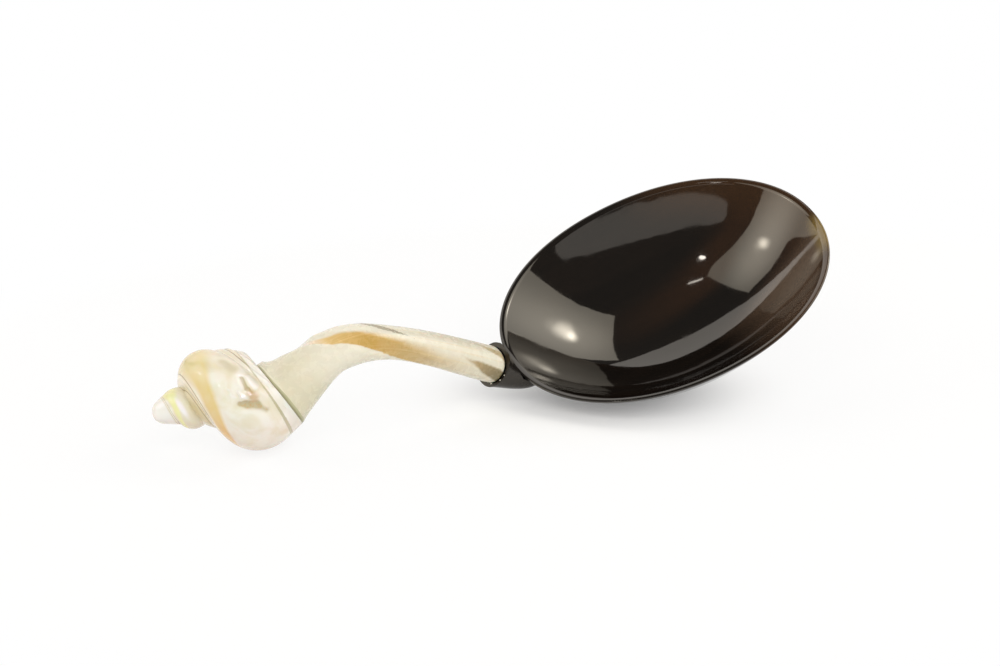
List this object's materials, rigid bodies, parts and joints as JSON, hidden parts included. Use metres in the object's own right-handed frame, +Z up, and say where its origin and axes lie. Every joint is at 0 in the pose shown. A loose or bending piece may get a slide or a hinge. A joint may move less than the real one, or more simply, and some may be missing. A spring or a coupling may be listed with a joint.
{
  "type": "rice serving spoon",
  "caption": "Serving spoon with a wide oval dark horn bowl on an arched carved shell handle that ends in a polished turban shell; it lies on the bowl and the shell.",
  "frame": {"origin": "on the table, under the middle of the spoon's bounding box as it lies at rest", "axes": "+Z up from the table; +X along the spoon from the turban shell to the bowl, its longest extent; +Y to the left of that"},
  "size_m": [0.2158, 0.0788, 0.0563],
  "materials": {
    "bowl_horn": "near-black brown horn, polished, browner where it is thin",
    "block_horn": "black horn, polished less than the bowl",
    "carved_shell": "carved white shell, satin, with a tan band that winds along it",
    "pearl": "polished mother of pearl, cream and pink with a tan stripe",
    "filling_resin": "dull resin filling",
    "neck_glue_line": "thin olive-grey glue line",
    "seat_glue": "pale glue",
    "pin_steel": "plain dowel pin"
  },
  "bodies": {
    "root": {"bowl": "bowl_horn", "heel_socket": "block_horn", "stem": "carved_shell", "turban_shell": "pearl", "aperture_plug": "filling_resin", "neck_glue": "neck_glue_line", "socket_glue": "seat_glue", "shell_pin": "pin_steel", "socket_pin": "pin_steel"}
  },
  "joints": []
}
